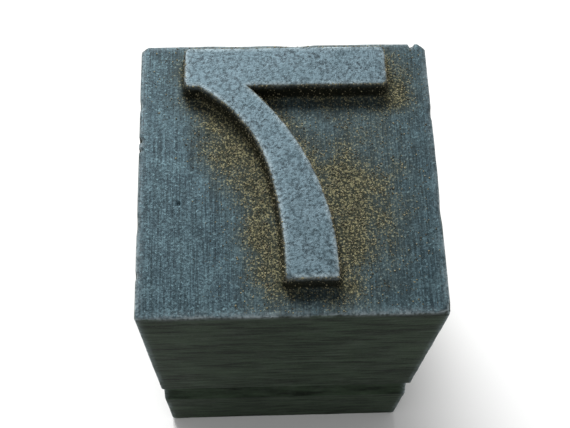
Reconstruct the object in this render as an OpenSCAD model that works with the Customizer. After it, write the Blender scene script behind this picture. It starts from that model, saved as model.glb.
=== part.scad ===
// Metal sort of printing type, 42 point, with a reversed figure 7 on its printing face.
// It is one casting that stands on its two feet, with the printing face up.
// The origin is the centre of the feet. +X is right, +Y is the back and +Z is up.
// The belly, which carries the nick, faces -Y.

/* [Shank] */
// Body size, belly to back, in American points
body_pt = 42; // [42:1:72]
// Set width, side to side, in American points
set_pt = 42; // [36:1:72]
// Height to paper, from the feet to the printing face, in mm
height_to_paper = 23.317; // [20:0.001:26]

/* [Figure] */
// Height of the printing face above the shoulder
relief = 1.13; // [0.8:0.01:1.8]
// Slope of the figure's walls away from upright, in degrees
draft = 8.5; // [4:0.5:12]
// Distance from the belly to the foot of the stem
baseline = 1.49; // [0.6:0.01:1.6]
// Height of the figure
figure_h = 12.4; // [10.5:0.01:12.8]
// Length of the bar, which is the width of the figure
figure_w = 10.1; // [9.2:0.01:11.5]
// Thickness of the bar
bar_t = 2.2; // [1.4:0.01:2.8]
// Radius of the bar's free corners
corner_r = 0.28; // [0.1:0.01:0.6]

/* [Stem] */
// Width of the stem at its foot
stem_w = 2.48; // [1.8:0.01:2.9]
// Distance from the bar's right end to the stem's right edge at its foot
stem_inset = 2.9; // [2.2:0.01:3.3]
// Height of the straight stretch at the foot of the stem
foot_rise = 0.5; // [0.3:0.01:1]
// How far left the stem's right edge leans before it meets the bar
outer_lean = 4.1; // [3.7:0.01:4.3]
// How far left the stem's left edge leans before it meets the bar
inner_lean = 4.05; // [3.8:0.01:4.4]
// Radius of the lower, flatter arc of the stem's left edge
inner_low_r = 20.9; // [17:0.1:26]
// Height above the straight stretch where the left edge turns tighter
inner_turn = 5; // [4:0.01:5.8]

/* [Nick] */
// Height of the nick's middle above the feet
nick_z = 7.1; // [3:0.05:15]
// Height of the nick's mouth
nick_w = 2.7; // [1.2:0.05:3.2]
// Depth of the nick
nick_d = 0.5; // [0.3:0.05:1.1]

/* [Feet] */
// Width of the groove between the feet, at its mouth
groove_w = 4.6; // [2:0.1:6]
// Depth of the groove
groove_d = 1.25; // [0.5:0.05:2.5]
// Slope of the groove's walls away from upright, in degrees
groove_slope = 14; // [0:1:25]

/* [Pin mark] */
// Radius of the round mark that the mould's pin leaves in the left side
pin_r = 2.1; // [1:0.05:3]
// Depth of the pin mark
pin_d = 0.35; // [0.1:0.05:0.8]
// Height of the pin mark's centre above the feet
pin_z = 15.6; // [12:0.1:17]

/* [Hidden] */
$fn = 96;
// American point, in mm
point = 0.35146;
metal = [0.26, 0.30, 0.33];
// How far a cutter runs past the face that it cuts
past = 1;
// Degrees by which a cutter's sector starts early, so that it overlaps the cutter below it
early = 1;
// How far the upper cutter of the stem's left edge is set out, so that it crosses the lower one
set_out = 0.003;

body_d = body_pt * point;
body_w = set_pt * point;
shoulder_z = height_to_paper - relief;

// How far a wall of the figure spreads between its face and the shoulder
spread = relief * tan(draft);
// How far such a wall leans over the length that a cutter runs past
past_lean = past * tan(draft);
bar_y = figure_h - bar_t;
stem_right = figure_w - stem_inset;
stem_left = stem_right - stem_w;
lean_rise = bar_y - foot_rise;
// How far the stem runs on into the bar
lap = bar_t / 10;

// The right edge is one arc, upright at the foot, that reaches the bar outer_lean further left
outer_r = (outer_lean * outer_lean + lean_rise * lean_rise) / (2 * outer_lean);
outer_c = [stem_right - outer_r, foot_rise];

// The left edge is two arcs with one tangent where they join
low_c = [stem_left - inner_low_r, foot_rise];
low_angle = asin(inner_turn / inner_low_r);
low_dir = [cos(low_angle), sin(low_angle)];
turn_at = low_c + inner_low_r * low_dir;
chord = [stem_left - inner_lean, bar_y] - turn_at;
inner_top_r = -(chord * chord) / (2 * (chord * low_dir));
top_c = turn_at - inner_top_r * low_dir;

// The nick is part of a cylinder, so its mouth and depth give its radius
nick_r = (nick_w * nick_w / 4 + nick_d * nick_d) / (2 * nick_d);

// Upright section of a wall or bar: w wide at the face, wider by the draft at the shoulder
module section(w) {
    polygon([[-spread, 0], [w + spread, 0], [w, relief], [0, relief]]);
}

// Drafted slab with its face corners rounded to radius r
module slab(w, d, r) {
    translate([r, 0, 0])
        rotate([90, 0, 90])
            linear_extrude(w - 2 * r)
                section(d);
    translate([0, d - r, 0])
        rotate([90, 0, 0])
            linear_extrude(d - 2 * r)
                section(w);
    for (x = [r, w - r], y = [r, d - r])
        translate([x, y, 0])
            cylinder(h = relief, r1 = r + spread, r2 = r);
}

// Sector of a disc whose rim leans out by the draft going down, as a convex wall does
module convex_sector(r, angle) {
    rotate_extrude(angle = angle)
        polygon([[0, 0], [r + spread, 0], [r, relief], [0, relief]]);
}

// Cutter for a concave wall: its rim leans in by the draft going down
module concave_sector(r, angle) {
    rotate(-early)
        rotate_extrude(angle = angle + early)
            polygon([[0, -past], [r - spread - past_lean, -past],
                     [r + past_lean, relief + past], [0, relief + past]]);
}

// The curved stem, which swells from the bar to its foot
module stem() {
    intersection() {
        difference() {
            union() {
                translate(outer_c)
                    convex_sector(outer_r, 90);
                translate([stem_right - outer_r, foot_rise, 0])
                    rotate([90, 0, 0])
                        linear_extrude(foot_rise + spread)
                            section(outer_r);
            }
            translate(low_c)
                concave_sector(inner_low_r, low_angle);
            translate(top_c)
                rotate(low_angle)
                    concave_sector(inner_top_r + set_out, 90);
            left_of_foot();
        }
        between_foot_and_bar();
    }
}

// What lies left of the stem's foot, with the stem's draft on the side towards it
module left_of_foot() {
    reach = inner_low_r;
    translate([stem_left, foot_rise, 0])
        rotate([90, 0, 0])
            linear_extrude(foot_rise + spread + past)
                polygon([[-reach, -past], [-spread - past_lean, -past],
                         [past_lean, relief + past], [-reach, relief + past]]);
}

// Limits the stem to the stretch from its drafted end wall to just inside the bar
module between_foot_and_bar() {
    rotate([90, 0, 90])
        linear_extrude(figure_w)
            polygon([[-spread, 0], [bar_y + lap, 0], [bar_y + lap, relief], [0, relief]]);
}

// Reversed figure 7, standing on the shoulder
module figure() {
    translate([-figure_w / 2, baseline - body_d / 2, shoulder_z]) {
        translate([0, bar_y, 0])
            slab(figure_w, bar_t, corner_r);
        stem();
    }
}

// Cut across the belly that tells the compositor which way up the sort is
module nick() {
    translate([-body_w / 2 - past, nick_d - nick_r - body_d / 2, nick_z])
        rotate([0, 90, 0])
            cylinder(h = body_w + 2 * past, r = nick_r);
}

// Groove that is ploughed where the jet was broken off, which leaves the two feet
module groove() {
    mouth = groove_w / 2;
    floor_half = mouth - groove_d * tan(groove_slope);
    below_half = mouth + past * tan(groove_slope);
    translate([-body_w / 2 - past, 0, 0])
        rotate([90, 0, 90])
            linear_extrude(body_w + 2 * past)
                polygon([[-below_half, -past], [below_half, -past],
                         [floor_half, groove_d], [-floor_half, groove_d]]);
}

// Round mark of the mould's pin
module pin_mark() {
    translate([-body_w / 2 - past, 0, pin_z])
        rotate([0, 90, 0])
            cylinder(h = pin_d + past, r = pin_r);
}

module type_sort() {
    color(metal) {
        difference() {
            translate([-body_w / 2, -body_d / 2, 0])
                cube([body_w, body_d, shoulder_z]);
            nick();
            groove();
            pin_mark();
        }
        figure();
    }
}

type_sort();
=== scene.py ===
"""A cast metal type sort with a reversed figure 7: worn slate-grey metal, dry grime and soft light."""
import math

import bpy
import numpy as np
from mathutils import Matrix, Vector
from mathutils.geometry import delaunay_2d_cdt
from mathutils.kdtree import KDTree


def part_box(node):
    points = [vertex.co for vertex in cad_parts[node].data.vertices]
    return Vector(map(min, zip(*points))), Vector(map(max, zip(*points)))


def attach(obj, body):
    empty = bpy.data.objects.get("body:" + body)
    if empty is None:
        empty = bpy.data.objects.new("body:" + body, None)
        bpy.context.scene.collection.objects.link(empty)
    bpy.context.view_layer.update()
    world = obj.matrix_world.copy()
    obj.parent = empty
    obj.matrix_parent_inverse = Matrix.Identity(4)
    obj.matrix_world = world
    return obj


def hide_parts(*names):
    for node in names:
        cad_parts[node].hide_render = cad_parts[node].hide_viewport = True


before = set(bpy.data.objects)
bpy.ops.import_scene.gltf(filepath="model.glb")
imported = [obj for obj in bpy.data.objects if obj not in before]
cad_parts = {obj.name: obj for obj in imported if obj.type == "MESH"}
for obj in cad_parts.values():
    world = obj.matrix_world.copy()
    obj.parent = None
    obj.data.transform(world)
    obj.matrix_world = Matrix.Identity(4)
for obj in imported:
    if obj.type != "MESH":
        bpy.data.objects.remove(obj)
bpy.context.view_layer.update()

MM = 0.001

# The shank, in millimetres, from the frame
_, high = (np.array(corner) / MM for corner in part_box("type_sort"))
HALF = high[0]
HEIGHT = high[2]

# The figure, in millimetres, with the sizes of the CAD model
RELIEF = 1.13
SHOULDER = HEIGHT - RELIEF
DRAFT = math.radians(8.5)
SPREAD = RELIEF * math.tan(DRAFT)
BASELINE = 1.49
FIGURE_H = 12.4
FIGURE_W = 10.1
BAR_T = 2.2
CORNER_R = 0.28
STEM_W = 2.48
STEM_INSET = 2.9
FOOT_RISE = 0.5
OUTER_LEAN = 4.1
INNER_LEAN = 4.05
INNER_LOW_R = 20.9
INNER_TURN = 5.0

# The nick, the groove between the feet, and the pin mark
NICK_Z = 7.1
NICK_W = 2.7
NICK_D = 0.5
GROOVE_W = 4.6
GROOVE_D = 1.25
GROOVE_SLOPE = math.radians(14)
PIN_R = 2.1
PIN_D = 0.35
PIN_Z = 15.6

# Gap between the mesh's points where there is detail, and where it is plain
FINE = 0.077
COARSE = 0.34
# Radius of the shank's rounded edges
EDGE_R = 0.14


def lattice(cells, seed):
    """Random value from -1 to 1 for each whole-number cell."""
    a, b, c = (cells[..., i].astype(np.int64) for i in range(3))
    h = (a * 374761393 + b * 668265263 + c * 2147483647 + seed * 974634777) & 0xFFFFFFFF
    h = ((h ^ (h >> 13)) * 1274126177) & 0xFFFFFFFF
    h = ((h ^ (h >> 16)) * 668265263) & 0xFFFFFFFF
    return ((h ^ (h >> 15)) & 0xFFFF) / 32767.5 - 1


def noise(points, size, seed):
    """Smooth noise from -1 to 1 with features about as large as size, which may differ by axis."""
    p = np.asarray(points, float) / np.asarray(size, float) + 0.37 * seed
    cell = np.floor(p).astype(int)
    t = p - cell
    t = t * t * (3 - 2 * t)
    total = np.zeros(len(p))
    for corner in np.ndindex(2, 2, 2):
        share = np.prod(np.where(np.array(corner) == 1, t, 1 - t), axis=1)
        total += share * lattice(cell + corner, seed)
    return total


def rough(points, size, seed, octaves=4):
    """Several sizes of noise together, each half as large and half as strong as the one before."""
    total = np.zeros(len(points))
    for i in range(octaves):
        total += noise(points, np.asarray(size, float) / 2 ** i, seed + 7 * i) / 2 ** i
    return total / 1.6


def step(low_edge, high_edge, x):
    """Smooth step from 0 to 1."""
    t = np.clip((x - low_edge) / (high_edge - low_edge), 0, 1)
    return t * t * (3 - 2 * t)


def arc(centre, radius, start, end, gap):
    """Points along an arc, angles in radians."""
    count = max(2, int(abs(end - start) * radius / gap) + 1)
    angles = np.linspace(start, end, count, endpoint=False)
    return [centre + radius * np.array([math.cos(a), math.sin(a)]) for a in angles]


def line(start, end, gap):
    """Points along a straight line, without its end."""
    count = max(1, int(np.linalg.norm(end - start) / gap))
    return [start + (end - start) * i / count for i in range(count)]


def figure_outline(gap):
    """The outline of the figure's printing face, anticlockwise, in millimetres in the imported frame."""
    bar_y = FIGURE_H - BAR_T
    right = FIGURE_W - STEM_INSET
    left = right - STEM_W
    rise = bar_y - FOOT_RISE
    outer_r = (OUTER_LEAN ** 2 + rise ** 2) / (2 * OUTER_LEAN)
    outer_c = np.array([right - outer_r, FOOT_RISE])
    low_c = np.array([left - INNER_LOW_R, FOOT_RISE])
    low_angle = math.asin(INNER_TURN / INNER_LOW_R)
    direction = np.array([math.cos(low_angle), math.sin(low_angle)])
    turn = low_c + INNER_LOW_R * direction
    crotch = np.array([left - INNER_LEAN, bar_y])
    chord = crotch - turn
    top_r = -(chord @ chord) / (2 * (chord @ direction))
    top_c = turn - top_r * direction
    top_angle = math.atan2(*(crotch - top_c)[::-1])
    foot_r = 0.1
    r = CORNER_R
    quarter = math.pi / 2
    points = line(np.array([left + foot_r, 0]), np.array([right - foot_r, 0]), gap)
    points += arc(np.array([right - foot_r, foot_r]), foot_r, -quarter, 0, gap / 2)
    points += line(np.array([right, foot_r]), np.array([right, FOOT_RISE]), gap)
    points += arc(outer_c, outer_r, 0, math.asin(rise / outer_r), gap)
    points += line(np.array([right - OUTER_LEAN, bar_y]), np.array([FIGURE_W - r, bar_y]), gap)
    corners = [(FIGURE_W - r, bar_y + r), (FIGURE_W - r, FIGURE_H - r), (r, FIGURE_H - r), (r, bar_y + r)]
    for i, corner in enumerate(corners):
        points += arc(np.array(corner), r, (i - 1) * quarter, i * quarter, gap / 2)
        if i == 0:
            points += line(np.array([FIGURE_W, bar_y + r]), np.array([FIGURE_W, FIGURE_H - r]), gap)
        if i == 1:
            points += line(np.array([FIGURE_W - r, FIGURE_H]), np.array([r, FIGURE_H]), gap)
        if i == 2:
            points += line(np.array([0, FIGURE_H - r]), np.array([0, bar_y + r]), gap)
    points += line(np.array([r, bar_y]), crotch, gap)
    points += arc(top_c, top_r, top_angle, low_angle, gap)
    points += arc(low_c, INNER_LOW_R, low_angle, 0, gap)
    points += line(np.array([left, FOOT_RISE]), np.array([left, foot_r]), gap)
    points += arc(np.array([left + foot_r, foot_r]), foot_r, math.pi, 1.5 * math.pi, gap / 2)
    return np.array(points) + [-FIGURE_W / 2, BASELINE - HALF]


def outward(points):
    """Outward normals of an anticlockwise outline."""
    along = np.roll(points, -1, axis=0) - np.roll(points, 1, axis=0)
    normals = np.stack([along[:, 1], -along[:, 0]], axis=1)
    return normals / np.linalg.norm(normals, axis=1)[:, None]


class Outline:
    """Signed distance from the figure's outline, negative inside it."""

    def __init__(self):
        self.points = figure_outline(0.012)
        self.normals = outward(self.points)
        self.tree = KDTree(len(self.points))
        for i, p in enumerate(self.points):
            self.tree.insert((p[0], p[1], 0), i)
        self.tree.balance()

    def distance(self, points):
        result = np.empty(len(points))
        for i, p in enumerate(points):
            _, nearest, gap = self.tree.find((p[0], p[1], 0))
            side = (np.asarray(p) - self.points[nearest]) @ self.normals[nearest]
            result[i] = gap if side > 0 else -gap
        return result


def profile():
    """Offsets from the outline and heights, down the figure's wall from its face to the shoulder."""
    edge = 0.11
    fillet = 0.16
    rows = [(-0.42, RELIEF), (-0.26, RELIEF)]
    turn = math.pi / 2 - DRAFT
    reach = edge * math.tan(turn / 2)
    for a in np.linspace(0, turn, 5):
        rows.append((-reach + edge * math.sin(a), RELIEF - edge * (1 - math.cos(a))))
    foot_reach = fillet * math.tan(turn / 2)
    foot = [(SPREAD + foot_reach - fillet * math.sin(a), fillet * (1 - math.cos(a)))
            for a in np.linspace(turn, 0, 5)]
    top, bottom = np.array(rows[-1]), np.array(foot[0])
    rows += [tuple(top + (bottom - top) * t) for t in np.linspace(0, 1, 10)[1:-1]]
    return rows + foot + [(SPREAD + foot_reach + 0.08, 0), (SPREAD + foot_reach + 0.18, 0)]


def squares(width, height, spacing):
    """Points inside a rectangle, from squares that are halved until they are as small as spacing asks."""
    count = np.array([max(1, round(width / 1.8)), max(1, round(height / 1.8))])
    size = np.array([width, height]) / count
    x, y = np.meshgrid(*[(np.arange(n) + 0.5) * s for n, s in zip(count, size)])
    cells = np.stack([x.ravel(), y.ravel()], axis=1)
    done = []
    while len(cells):
        large = size.max() > 1.3 * spacing(cells)
        done.append(cells[~large])
        quarters = [cells[large] + np.array(s) * size / 4 for s in ((-1, -1), (1, -1), (-1, 1), (1, 1))]
        cells = np.concatenate(quarters)
        size = size / 2
    return np.concatenate(done)


def graded(start, end, spacing, marks=()):
    """Numbers from start to end, as close together as spacing says, with every mark among them."""
    stops = sorted({start, end, *[m for m in marks if start < m < end]})
    values = []
    for a, b in zip(stops, stops[1:]):
        at = a
        run = [a]
        while at < b:
            at += float(spacing(np.array([at]))[0])
            run.append(at)
        scale = (b - a) / (run[-1] - a)
        values += [a + (v - a) * scale for v in run[:-1]]
    return np.array(values + [end])


def triangles(points, loops=()):
    """Triangles that join the points of a rectangle, with the loops kept as edges where none cross."""
    flat = [Vector(p) for p in points]
    edges = [pair for loop in loops for pair in loop]
    while True:
        made = delaunay_2d_cdt(flat, edges, [], 0, 1e-6)
        source = [origins[0] if origins else None for origins in made[3]]
        if None not in source:
            return [[source[i] for i in face] for face in made[2]]
        crossed = {i for ends, origins in zip(made[1], made[4]) for i in origins
                   if source[ends[0]] is None or source[ends[1]] is None}
        edges = [pair for i, pair in enumerate(edges) if i not in crossed]


# Half the width of the groove's roof, and the radius of the nick's arc
GROOVE_ROOF = GROOVE_W / 2 - GROOVE_D * math.tan(GROOVE_SLOPE)
NICK_RADIUS = (NICK_W ** 2 / 4 + NICK_D ** 2) / (2 * NICK_D)


def height_spacing(z):
    """Gap between points at a height: fine at the shoulder and at the nick's edges."""
    near_top = FINE + 0.03 * np.maximum(0, SHOULDER - z)
    near_nick = 0.1 + 0.1 * np.maximum(0, np.abs(z - NICK_Z) - NICK_W / 2)
    near_foot = 0.16 + 0.1 * z
    return np.minimum(np.minimum(near_top, near_nick), np.minimum(near_foot, COARSE))


def side_spacing(z):
    """As height_spacing, and coarser, for the three sides that the nick leaves plain."""
    near_top = FINE + 0.06 * np.maximum(0, SHOULDER - z)
    near_foot = 0.2 + 0.1 * z
    return np.minimum(np.minimum(near_top, near_foot), COARSE)


def pin_spacing(c):
    """As side_spacing, and finer near the rim of the pin mark."""
    from_rim = np.abs(np.hypot(c[:, 0], c[:, 1] - PIN_Z) - PIN_R)
    return np.minimum(side_spacing(c[:, 1]), 0.09 + 0.2 * from_rim)


def groove_at(y):
    """Height of the groove's roof above the surface that the feet stand on."""
    return np.clip((GROOVE_W / 2 - np.abs(y)) / (GROOVE_W / 2 - GROOVE_ROOF), 0, 1) * GROOVE_D


def nick_at(z):
    """Depth of the nick at a height."""
    rise = np.sqrt(np.maximum(NICK_RADIUS ** 2 - (z - NICK_Z) ** 2, 0))
    return np.maximum(0, rise - (NICK_RADIUS - NICK_D))


outline = Outline()
PROFILE = profile()


class Skin:
    """The closed surface of the sort, gathered face by face, with the points of shared edges merged."""

    def __init__(self):
        self.points = []
        self.index = {}
        self.faces = []
        self.relief = []

    def add(self, point, relief=0.0):
        key = tuple(np.round(point, 4)) + (round(relief, 4),)
        if key not in self.index:
            self.index[key] = len(self.points)
            self.points.append(point)
            self.relief.append(relief)
        return self.index[key]

    def patch(self, flat, faces, lift, reliefs=None):
        """Adds triangles whose flat points lift() turns into points on the box."""
        solid = lift(flat)
        reliefs = np.zeros(len(flat)) if reliefs is None else reliefs
        ids = [self.add(p, r) for p, r in zip(solid, reliefs)]
        self.faces += [[ids[i] for i in face] for face in faces]


def across():
    return graded(-HALF, HALF, lambda x: np.full(len(x), FINE))


def along_foot():
    marks = (-GROOVE_W / 2, -GROOVE_ROOF, GROOVE_ROOF, GROOVE_W / 2)
    return graded(-HALF, HALF, lambda y: np.full(len(y), 0.25), marks)


def height_marks():
    return (NICK_Z - NICK_W / 2, NICK_Z, NICK_Z + NICK_W / 2)


def frame_points(us_low, us_high, vs_low, vs_high):
    """Points round a rectangle: its bottom, top, left and right edges."""
    u0, u1 = us_low[0], us_low[-1]
    v0, v1 = vs_low[0], vs_low[-1]
    parts = [[(u, v0) for u in us_low], [(u, v1) for u in us_high],
             [(u0, v) for v in vs_low[1:-1]], [(u1, v) for v in vs_high[1:-1]]]
    return np.array([p for part in parts for p in part])


def filled(border, spacing, rows=None):
    """Border points and the points inside them, kept clear of the border."""
    lo, hi = border.min(axis=0), border.max(axis=0)
    inner = squares(*(hi - lo), lambda c: spacing(c + lo)) + lo
    if rows is not None:
        near = np.min(np.abs(inner[:, 1:2] - np.array(rows)[None, :]), axis=1)
        inner = inner[near > 0.045]
        extra = [(u, row) for row in rows for u in np.arange(lo[0] + 0.12, hi[0] - 0.06, 0.12)]
        inner = np.concatenate([inner, np.array(extra)])
    return np.concatenate([border, inner])


def build_top(skin):
    """The shoulder with the figure on it. The walls are rings of points round the figure's outline."""
    xs = across()
    border = frame_points(xs, xs, xs, xs)
    inner = squares(2 * HALF, 2 * HALF, lambda c: np.full(len(c), FINE)) - HALF
    distance = outline.distance(inner)
    inside, outside = PROFILE[0][0], PROFILE[-1][0]
    keep = (distance < inside - 0.035) | (distance > outside + 0.035)
    reliefs = np.where(distance < 0, RELIEF, 0.0)[keep]
    flat = [border, inner[keep]]
    heights = [np.zeros(len(border)), reliefs]
    total = sum(len(f) for f in flat)
    loops = []
    base = figure_outline(0.075)
    normals = outward(base)
    for offset, height in PROFILE:
        ring = base + normals * offset
        true = outline.distance(ring)
        ring = ring[np.abs(true - offset) < 0.012]
        apart = np.linalg.norm(ring - np.roll(ring, 1, axis=0), axis=1)
        ring = ring[apart > 0.012]
        middle = (ring + np.roll(ring, -1, axis=0)) / 2
        level = np.abs(outline.distance(middle) - offset) < 0.006
        loops.append([(total + i, total + (i + 1) % len(ring)) for i in np.flatnonzero(level)])
        flat.append(ring)
        heights.append(np.full(len(ring), height))
        total += len(ring)
    flat, heights = np.concatenate(flat), np.concatenate(heights)
    skin.patch(flat, triangles(flat, loops), lambda f: np.c_[f, np.full(len(f), SHOULDER)], heights)


def build_sides(skin):
    """Belly, back and the two sides, which share their edges' points."""
    xs = across()
    plain_x = graded(-HALF, HALF, lambda x: np.full(len(x), 0.25))
    ys = along_foot()
    front_z = graded(0, SHOULDER, height_spacing, height_marks())
    back_z = graded(0, SHOULDER, side_spacing)
    rows = list(height_marks()[::2])

    border = frame_points(plain_x, xs, front_z, front_z)
    flat = filled(border, lambda c: height_spacing(c[:, 1]), rows)
    skin.patch(flat, triangles(flat), lambda f: np.c_[f[:, 0], np.full(len(f), -HALF), f[:, 1]])

    border = frame_points(plain_x, xs, back_z, back_z)
    flat = filled(border, lambda c: side_spacing(c[:, 1]))
    faces = [f[::-1] for f in triangles(flat)]
    skin.patch(flat, faces, lambda f: np.c_[f[:, 0], np.full(len(f), HALF), f[:, 1]])

    border = frame_points(ys, xs, front_z, back_z)
    flat = filled(border, lambda c: side_spacing(c[:, 1]))
    skin.patch(flat, triangles(flat), lambda f: np.c_[np.full(len(f), HALF), f])

    flat = filled(border, pin_spacing)
    faces = [f[::-1] for f in triangles(flat)]
    skin.patch(flat, faces, lambda f: np.c_[np.full(len(f), -HALF), f])

    border = frame_points(plain_x, plain_x, ys, ys)
    inner = np.array([(x, y) for x in plain_x[1:-1] for y in ys[1:-1]])
    flat = np.concatenate([border, inner])
    faces = [f[::-1] for f in triangles(flat)]
    skin.patch(flat, faces, lambda f: np.c_[f, np.zeros(len(f))])


def rounded(p, radius):
    """Rounds the box's edges: a point near one moves onto an arc of that radius."""
    lo = np.array([-HALF, -HALF, 0.0]) + radius[:, None]
    hi = np.array([HALF, HALF, SHOULDER]) - radius[:, None]
    core = np.clip(p, lo, hi)
    away = p - core
    length = np.maximum(np.linalg.norm(away, axis=1), 1e-9)
    reach = np.minimum(np.abs(away).max(axis=1), radius)
    return core + away / length[:, None] * reach[:, None]


# Chips knocked off edges and corners: a point on the cut, and the direction that the cut faces
CHIPS = [
    ((6.9, -7.38, 22.0), (0.35, -0.75, 0.56)),
    ((7.38, -6.9, 22.02), (0.7, -0.25, 0.66)),
    ((-7.2, 7.2, 22.08), (-0.6, 0.55, 0.58)),
    ((7.22, 7.2, 22.02), (0.6, 0.6, 0.53)),
    ((-7.25, -7.28, 22.12), (-0.5, -0.55, 0.67)),
    ((7.3, -7.3, 0.12), (0.55, -0.6, -0.58)),
    ((-7.28, -7.3, 0.15), (-0.6, -0.55, -0.58)),
]

# Dents: centre, radii and depth, in millimetres, pressed in against the surface
DENTS = [
    ((6.66, 7.38, 22.187), (0.2, 0.5, 0.5), 0.22),
    ((-7.4, 1.95, 22.187), (0.4, 0.22, 0.5), 0.16),
    ((-7.4, 1.4, 22.187), (0.35, 0.15, 0.45), 0.12),
    ((-7.4, 3.9, 22.187), (0.35, 0.4, 0.45), 0.08),
    ((-7.4, -2.6, 22.187), (0.3, 0.7, 0.4), 0.06),
    ((-7.4, -5.2, 22.187), (0.3, 0.3, 0.4), 0.08),
    ((-5.4, -1.57, 22.187), (0.13, 0.13, 0.3), 0.1),
    ((-3.9, 2.1, 22.187), (0.1, 0.16, 0.3), 0.05),
    ((-2.37, 2.37, 23.317), (0.2, 0.16, 0.4), 0.12),
    ((5.12, 4.5, 23.317), (0.2, 0.3, 0.4), 0.08),
    ((-0.3, -5.95, 23.317), (0.5, 0.25, 0.5), 0.18),
    ((7.38, 3.2, 22.187), (0.3, 0.5, 0.4), 0.06),
    ((7.38, -2.1, 22.187), (0.3, 0.9, 0.4), 0.05),
    ((2.1, -7.38, 22.187), (0.5, 0.3, 0.4), 0.05),
    ((-4.2, -7.38, 22.187), (0.9, 0.3, 0.4), 0.05),
    ((0.6, 7.38, 22.187), (1.2, 0.3, 0.4), 0.05),
]


def worn(p, relief):
    """The box's points, shaped into the sort: rounded edges, nick, groove, pin mark, chips and dents."""
    on_top = p[:, 2] > SHOULDER - 1e-6
    radius = EDGE_R * (1 + 0.45 * rough(p, 1.1, 3)) + 0.04 * np.maximum(0, noise(p, 3.1, 5))
    shaped = rounded(p, np.clip(radius, 0.05, 0.3))
    inward = step(-HALF + 5, -HALF, p[:, 1])
    shaped[:, 1] += nick_at(p[:, 2]) * inward
    near_foot = 1 - step(0.0, 5.0, p[:, 2])
    shaped[:, 2] += groove_at(p[:, 1]) * near_foot
    on_left = p[:, 0] < -HALF + 1e-6
    from_pin = np.hypot(p[:, 1], p[:, 2] - PIN_Z)
    shaped[:, 0] += np.where(on_left, PIN_D * (1 - step(PIN_R - 0.12, PIN_R + 0.03, from_pin)), 0)
    shaped[:, 2] += relief * on_top
    for point, facing in CHIPS:
        facing = np.array(facing) / np.linalg.norm(facing)
        beyond = (shaped - point) @ facing + 0.02 * rough(shaped, 0.3, 11)
        shaped -= np.maximum(0, beyond)[:, None] * facing
    for centre, radii, depth in DENTS:
        gap = np.linalg.norm((shaped - centre) / radii, axis=1)
        press = depth * (1 - step(0.2, 1.0, gap))
        middle = np.array([0, 0, SHOULDER - 2.0])
        down = middle - shaped
        down[:, :2] *= (np.abs(shaped[:, :2]) > HALF - 0.6) * 0.4
        down /= np.linalg.norm(down, axis=1)[:, None]
        shaped += down * press[:, None]
    return shaped


def vertex_normals(points, faces):
    """Normals of the points, from the triangles round them."""
    a, b, c = (points[faces[:, i]] for i in range(3))
    normal = np.cross(b - a, c - a)
    total = np.zeros_like(points)
    for i in range(3):
        np.add.at(total, faces[:, i], normal)
    return total / np.maximum(np.linalg.norm(total, axis=1), 1e-12)[:, None]


def grime(p, distance):
    """How thick the dry grime lies on the shoulder: along the figure's foot and in a few patches."""
    x, y = p[:, 0], p[:, 1]
    near = np.exp(-np.maximum(distance, 0) / 0.9)
    under_bar = np.exp(-((x + 2.9) / 1.7) ** 2 - ((y - 1.9) / 2.3) ** 2)
    left_of_stem = np.exp(-((x + 1.3) / 0.9) ** 2 - ((y + 3.2) / 2.8) ** 2)
    right_of_stem = np.exp(-((x - 2.7) / 0.9) ** 2 - ((y + 2.2) / 3.4) ** 2)
    low_right = 0.5 * np.exp(-((x - 4.2) / 1.8) ** 2 - ((y + 1.5) / 3.5) ** 2)
    bar_end = 0.7 * np.exp(-((x - 5.5) / 0.7) ** 2 - ((y - 4.6) / 1.2) ** 2)
    patches = 0.9 * under_bar + 0.9 * left_of_stem + 0.9 * right_of_stem + low_right + bar_end
    spread_thin = 0.16 * step(-5.5, -2.0, x)
    return np.clip(0.75 * near + patches + spread_thin, 0, 1.2) * (0.8 + 0.5 * rough(p, 0.9, 21))


def add_float(mesh, name, values):
    attribute = mesh.attributes.new(name, "FLOAT", "POINT")
    attribute.data.foreach_set("value", np.asarray(values, np.float32))


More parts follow.
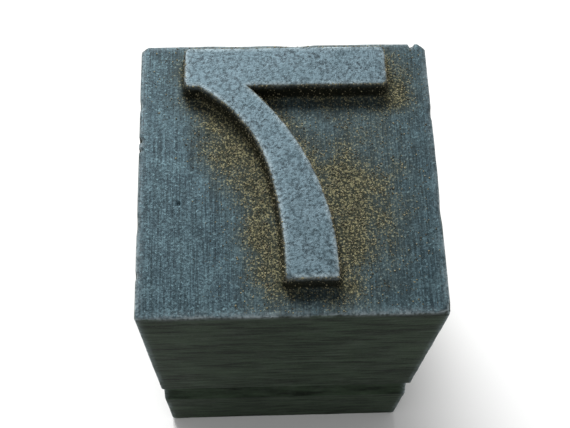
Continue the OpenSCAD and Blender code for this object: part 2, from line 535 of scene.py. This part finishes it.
def build_sort():
    """The dressed sort as one closed mesh, with the masks that its material reads."""
    skin = Skin()
    build_top(skin)
    build_sides(skin)
    p = np.array(skin.points)
    relief = np.array(skin.relief)
    faces = np.array(skin.faces)
    shaped = worn(p, relief)
    normals = vertex_normals(shaped, faces)
    on_top = p[:, 2] > SHOULDER - 1e-6
    distance = np.full(len(p), 5.0)
    distance[on_top] = outline.distance(p[on_top, :2])
    on_face = on_top & (relief > RELIEF - 0.02)
    dirt = np.where(on_top & ~on_face, grime(p, distance), 0)
    lumps = 0.03 * np.maximum(0, rough(shaped, 0.2, 31)) * dirt
    skin_noise = 0.006 * rough(shaped, 0.5, 41) + 0.014 * noise(shaped, 2.3, 43)
    wall = step(0.05, 0.3, relief) * (1 - step(RELIEF - 0.15, RELIEF - 0.03, relief))
    skin_noise += 0.016 * wall * rough(shaped, 0.28, 47)
    below = shaped[:, 2] < SHOULDER - 0.5
    skin_noise += np.where(below, 0.012 * rough(shaped, (2.5, 2.5, 0.35), 51), 0)
    shaped = shaped + normals * (lumps + skin_noise)[:, None]
    shaped[:, 2] = np.clip(shaped[:, 2], 0, HEIGHT)
    shaped[:, :2] = np.clip(shaped[:, :2], -HALF, HALF)

    # Rubbed edges, along the shank's edges and round the figure's face: partly real wear and partly a
    # painted highlight
    edge = np.sort(np.stack([HALF - np.abs(p[:, 0]), HALF - np.abs(p[:, 1]), SHOULDER - p[:, 2]], 1), axis=1)
    box_edge = np.exp(-np.maximum(edge[:, 1], 0) / 0.11)
    face_edge = np.where(on_top, np.exp(-np.abs(distance + 0.04) / 0.06) * step(0.7, 1.05, relief), 0)
    rub_and_highlight = np.clip(np.maximum(box_edge, face_edge) * (0.65 + 0.6 * rough(p, 0.7, 61)), 0, 1)

    mesh = bpy.data.meshes.new("type_sort_metal")
    mesh.from_pydata((shaped * MM).tolist(), [], faces.tolist())
    mesh.validate()
    mesh.polygons.foreach_set("use_smooth", [True] * len(mesh.polygons))
    add_float(mesh, "grime", dirt)
    add_float(mesh, "rub_and_highlight", rub_and_highlight)
    add_float(mesh, "printing", on_face.astype(float) * step(0.02, 0.12, -distance))
    # Painted shade: a dark line just under the front face's top edge, and dark on the figure's walls,
    # darkest where they face the front, away from the lamp
    lip = np.exp(-((SHOULDER - p[:, 2] - 0.13) / 0.08) ** 2) * (p[:, 1] < -HALF + 1e-6)
    facing_front = np.clip(-normals[:, 1], 0, 1)
    painted_shade = wall * (0.6 + 0.4 * facing_front) + lip * step(-0.5, 0.3, rough(p, 0.9, 71))
    add_float(mesh, "painted_shade", np.clip(painted_shade, 0, 1))
    mesh.polygons.foreach_set("material_index", (~on_top[faces].all(axis=1)).astype(int).tolist())
    piece = bpy.data.objects.new("metal_sort", mesh)
    bpy.context.scene.collection.objects.link(piece)
    return piece, dirt, shaped, normals


def build_grains(dirt, shaped, normals):
    """Dry grains of ink and metal dust, each a small lump sunk in the shoulder."""
    rng = np.random.default_rng(7)
    chance = np.clip(dirt, 0, 1) ** 1.4
    inside = np.abs(shaped[:, :2]).max(axis=1) < HALF - 0.2
    chosen = np.flatnonzero(inside & (rng.random(len(shaped)) < 0.36 * chance))
    corners = np.array([(1, 0, 0), (-1, 0, 0), (0, 1, 0), (0, -1, 0), (0, 0, 1), (0, 0, -1)], float)
    sides = [(0, 2, 4), (2, 1, 4), (1, 3, 4), (3, 0, 4), (2, 0, 5), (1, 2, 5), (3, 1, 5), (0, 3, 5)]
    points, faces, tones = [], [], []
    for i in chosen:
        size = 0.022 + 0.034 * rng.random() ** 2
        turn, _ = np.linalg.qr(rng.normal(size=(3, 3)))
        turn *= np.sign(np.linalg.det(turn))
        shape = corners * size * rng.uniform(0.6, 1.3, (6, 1))
        place = shaped[i] + rng.uniform(-0.04, 0.04, 3) * (1, 1, 0) + (0, 0, 0.3 * size)
        base = len(points)
        points += list(shape @ turn.T + place)
        faces += [[base + k for k in side] for side in sides]
        tones += [rng.random()] * 6
    mesh = bpy.data.meshes.new("dry_grains")
    mesh.from_pydata((np.array(points) * MM).tolist(), [], faces)
    add_float(mesh, "tone", tones)
    piece = bpy.data.objects.new("dry_grains", mesh)
    bpy.context.scene.collection.objects.link(piece)
    return piece


class Nodes:
    """Short names for making a material's nodes."""

    def __init__(self, name):
        self.material = bpy.data.materials.new(name)
        self.material.use_nodes = True
        self.tree = self.material.node_tree
        self.shader = self.tree.nodes["Principled BSDF"]

    def node(self, kind, **settings):
        made = self.tree.nodes.new(kind)
        for key, value in settings.items():
            setattr(made, key, value)
        return made

    def link(self, source, target):
        self.tree.links.new(source, target)

    def mask(self, name):
        return self.node("ShaderNodeAttribute", attribute_name=name).outputs["Fac"]

    def place(self, scale=(1, 1, 1)):
        """Object coordinates in millimetres, stretched by scale."""
        mapping = self.node("ShaderNodeMapping")
        mapping.inputs["Scale"].default_value = [s / MM for s in scale]
        self.link(self.node("ShaderNodeTexCoord").outputs["Object"], mapping.inputs["Vector"])
        return mapping.outputs["Vector"]

    def noise(self, scale, detail=4.0, roughness=0.55, stretch=(1, 1, 1)):
        made = self.node("ShaderNodeTexNoise")
        made.inputs["Scale"].default_value = scale
        made.inputs["Detail"].default_value = detail
        made.inputs["Roughness"].default_value = roughness
        self.link(self.place(stretch), made.inputs["Vector"])
        return made.outputs["Fac"]

    def ramp(self, source, low, high, start=0.0, end=1.0):
        made = self.node("ShaderNodeMapRange")
        for key, value in zip(("From Min", "From Max", "To Min", "To Max"), (low, high, start, end)):
            made.inputs[key].default_value = value
        self.link(source, made.inputs["Value"])
        return made.outputs["Result"]

    def math(self, operation, a, b):
        made = self.node("ShaderNodeMath", operation=operation)
        for i, value in enumerate((a, b)):
            if isinstance(value, (int, float)):
                made.inputs[i].default_value = value
            else:
                self.link(value, made.inputs[i])
        return made.outputs[0]

    def mix(self, factor, a, b):
        made = self.node("ShaderNodeMix", data_type="RGBA")
        self.link(factor, made.inputs["Factor"])
        for name, value in (("A", a), ("B", b)):
            socket = [s for s in made.inputs if s.name == name and s.type == "RGBA"][0]
            if isinstance(value, tuple):
                socket.default_value = (*value, 1)
            else:
                self.link(value, socket)
        return [s for s in made.outputs if s.type == "RGBA"][0]

    def bump(self, height, distance, strength, below=None):
        made = self.node("ShaderNodeBump")
        made.inputs["Strength"].default_value = strength
        made.inputs["Distance"].default_value = distance * MM
        self.link(height, made.inputs["Height"])
        if below is not None:
            self.link(below, made.inputs["Normal"])
        return made.outputs["Normal"]


SLATE = (0.050, 0.088, 0.106)
SLATE_DARK = (0.010, 0.022, 0.028)
SLATE_PALE = (0.115, 0.19, 0.215)
FACE_GREY = (0.118, 0.175, 0.205)
FACE_DARK = (0.020, 0.034, 0.042)
SIDE_DARK = (0.007, 0.012, 0.007)
SIDE_GREENISH = (0.040, 0.062, 0.038)
# Pale colour of the rubbed edges, partly a painted highlight
BRIGHT = (0.42, 0.50, 0.53)
# Painted shade colour, for the figure's walls and under the front face's top edge
PAINTED_SHADE_DARK = (0.010, 0.011, 0.006)
EARTH = (0.024, 0.026, 0.014)
GOLD = (0.26, 0.24, 0.13)
SIDE_MOTTLE = (0.05, 0.062, 0.05)
SIDE_SPECK = (0.11, 0.12, 0.09)
GRAIN_DARK = (0.02, 0.018, 0.01)
GRAIN_PALE = (0.34, 0.31, 0.18)
GRAIN_DULL = (0.14, 0.12, 0.08)
PAPER = (0.93, 0.93, 0.925)
PAPER_SHADE = (0.9, 0.905, 0.905)


def shared_noises(m):
    """Noises that the top and the sides share: broad mottling, fine mottling and specks."""
    return m.noise(0.9, 6, 0.6), m.noise(6.5, 5, 0.65), m.noise(9, 3, 0.75)


def finish_metal(m, body, fine, specks, gloss, bumps):
    """Rubbed edges that are partly a painted highlight, painted shade on the figure's walls and under the
    front face's top edge, gloss and bump, on top of a body colour.
    """
    rub_and_highlight, grime_mask = m.mask("rub_and_highlight"), m.mask("grime")
    # Painted shade on the figure's walls and under the front face's top edge
    body = m.mix(m.ramp(m.mask("painted_shade"), 0, 1, 0, 0.9), body, PAINTED_SHADE_DARK)
    # Rubbed edges: partly real wear, partly a painted highlight
    worn_edge_and_highlight = m.math("MULTIPLY", rub_and_highlight, m.ramp(fine, 0.40, 0.56, 0.25, 1))
    body = m.mix(worn_edge_and_highlight, body, BRIGHT)
    m.link(body, m.shader.inputs["Base Color"])
    base_gloss = m.ramp(fine, 0.3, 0.7, gloss - 0.06, gloss + 0.08)
    m.link(m.math("ADD", base_gloss, m.ramp(grime_mask, 0, 1, 0, 0.3)), m.shader.inputs["Roughness"])
    relief = m.bump(bumps, 0.012, 0.5)
    relief = m.bump(fine, 0.03, 0.5, relief)
    relief = m.bump(specks, 0.03, 0.6, relief)
    m.link(relief, m.shader.inputs["Normal"])


def top_material():
    """Shoulder and figure: slate blue with drawn striations, speckled grime and a mottled printing face."""
    m = Nodes("type_metal_top")
    mottling, fine, specks = shared_noises(m)
    grime_mask = m.mask("grime")
    striations = m.noise(2.2, 5, 0.7, (7, 0.16, 1))
    shoulder = m.mix(m.ramp(striations, 0.40, 0.60), SLATE_DARK, SLATE)
    shoulder = m.mix(m.ramp(mottling, 0.45, 0.72, 0, 0.35), shoulder, SLATE_PALE)
    shoulder = m.mix(m.ramp(specks, 0.50, 0.38, 0, 0.85), shoulder, SLATE_DARK)
    shoulder = m.mix(m.ramp(specks, 0.58, 0.66, 0, 0.9), shoulder, SLATE_PALE)
    face = m.mix(m.ramp(fine, 0.38, 0.58), FACE_DARK, FACE_GREY)
    face = m.mix(m.ramp(mottling, 0.4, 0.7, 0, 0.45), face, SLATE)
    body = m.mix(m.mask("printing"), shoulder, face)
    body = m.mix(m.ramp(grime_mask, 0.1, 0.8, 0, 0.85), body, EARTH)
    dusty = m.math("MULTIPLY", grime_mask, m.ramp(specks, 0.5, 0.62))
    body = m.mix(m.ramp(dusty, 0.2, 0.6, 0, 0.85), body, GOLD)
    finish_metal(m, body, fine, specks, 0.40, striations)
    m.shader.inputs["Metallic"].default_value = 0.3
    m.shader.inputs["Specular IOR Level"].default_value = 0.16
    return m.material


def side_material():
    """Belly, back, sides and feet: dull dark metal, faintly green, with level streaks."""
    m = Nodes("type_metal_sides")
    mottling, fine, specks = shared_noises(m)
    streaks = m.noise(1.3, 5, 0.65, (0.35, 0.35, 2.6))
    body = m.mix(m.ramp(streaks, 0.36, 0.68), SIDE_DARK, SIDE_GREENISH)
    body = m.mix(m.ramp(mottling, 0.5, 0.75, 0, 0.4), body, SIDE_MOTTLE)
    body = m.mix(m.ramp(specks, 0.62, 0.75, 0, 0.4), body, SIDE_SPECK)
    finish_metal(m, body, fine, specks, 0.78, streaks)
    m.shader.inputs["Metallic"].default_value = 0.1
    m.shader.inputs["Specular IOR Level"].default_value = 0.12
    return m.material


def grain_material():
    """Dry grains, from brown-black to a dull brassy beige."""
    m = Nodes("dry_grain")
    tone = m.mask("tone")
    colour = m.mix(m.ramp(tone, 0.1, 0.9), GRAIN_DARK, GRAIN_PALE)
    colour = m.mix(m.ramp(m.noise(14, 3), 0.4, 0.6, 0, 0.4), colour, GRAIN_DULL)
    m.link(colour, m.shader.inputs["Base Color"])
    m.shader.inputs["Roughness"].default_value = 0.6
    m.link(m.bump(m.noise(25, 2), 0.01, 0.4), m.shader.inputs["Normal"])
    return m.material


def floor_material():
    m = Nodes("pale_paper")
    tint = m.mix(m.ramp(m.noise(0.05, 3, 0.5, (1, 0.3, 1)), 0.4, 0.7), PAPER, PAPER_SHADE)
    m.link(tint, m.shader.inputs["Base Color"])
    m.shader.inputs["Roughness"].default_value = 0.8
    return m.material


def build_floor():
    size = 0.6
    corners = [(-size, -size, 0), (size, -size, 0), (size, size, 0), (-size, size, 0)]
    mesh = bpy.data.meshes.new("floor")
    mesh.from_pydata(corners, [], [(0, 1, 2, 3)])
    mesh.materials.append(floor_material())
    floor = bpy.data.objects.new("floor", mesh)
    bpy.context.scene.collection.objects.link(floor)


def area_light(name, place, aim, size, power):
    data = bpy.data.lights.new(name, "AREA")
    data.shape = "DISK"
    data.size = size
    data.energy = power
    lamp = bpy.data.objects.new(name, data)
    lamp.location = place
    lamp.rotation_euler = (Vector(aim) - Vector(place)).to_track_quat("-Z", "Y").to_euler()
    bpy.context.scene.collection.objects.link(lamp)


def build_light():
    """A dim even room, and a large soft lamp behind and above the sort."""
    world = bpy.data.worlds.new("room")
    world.use_nodes = True
    world.node_tree.nodes["Background"].inputs["Color"].default_value = (1, 1, 1, 1)
    world.node_tree.nodes["Background"].inputs["Strength"].default_value = 0.42
    bpy.context.scene.world = world
    area_light("window", (-0.07, 0.28, 0.31), (0, 0, 0.02), 0.2, 2.1)


def build_camera():
    """The photograph's viewpoint, from a camera fitted to the shank's edges."""
    data = bpy.data.cameras.new("camera")
    data.sensor_width = 36
    data.lens = 63.24
    data.clip_start = 0.001
    data.clip_end = 10
    camera = bpy.data.objects.new("camera", data)
    camera.location = np.array([-1.8075, -21.1565, 66.697]) * MM
    camera.rotation_euler = [math.radians(a) for a in (23.10, -1.267, -1.776)]
    bpy.context.scene.collection.objects.link(camera)
    bpy.context.scene.camera = camera


bpy.context.scene.view_settings.view_transform = "Standard"
build_camera()
build_light()
build_floor()

sort, dirt, shaped, normals = build_sort()
sort.data.materials.append(top_material())
sort.data.materials.append(side_material())
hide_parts("type_sort")
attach(sort, "root")

grains = build_grains(dirt, shaped, normals)
grains.data.materials.append(grain_material())
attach(grains, "root")
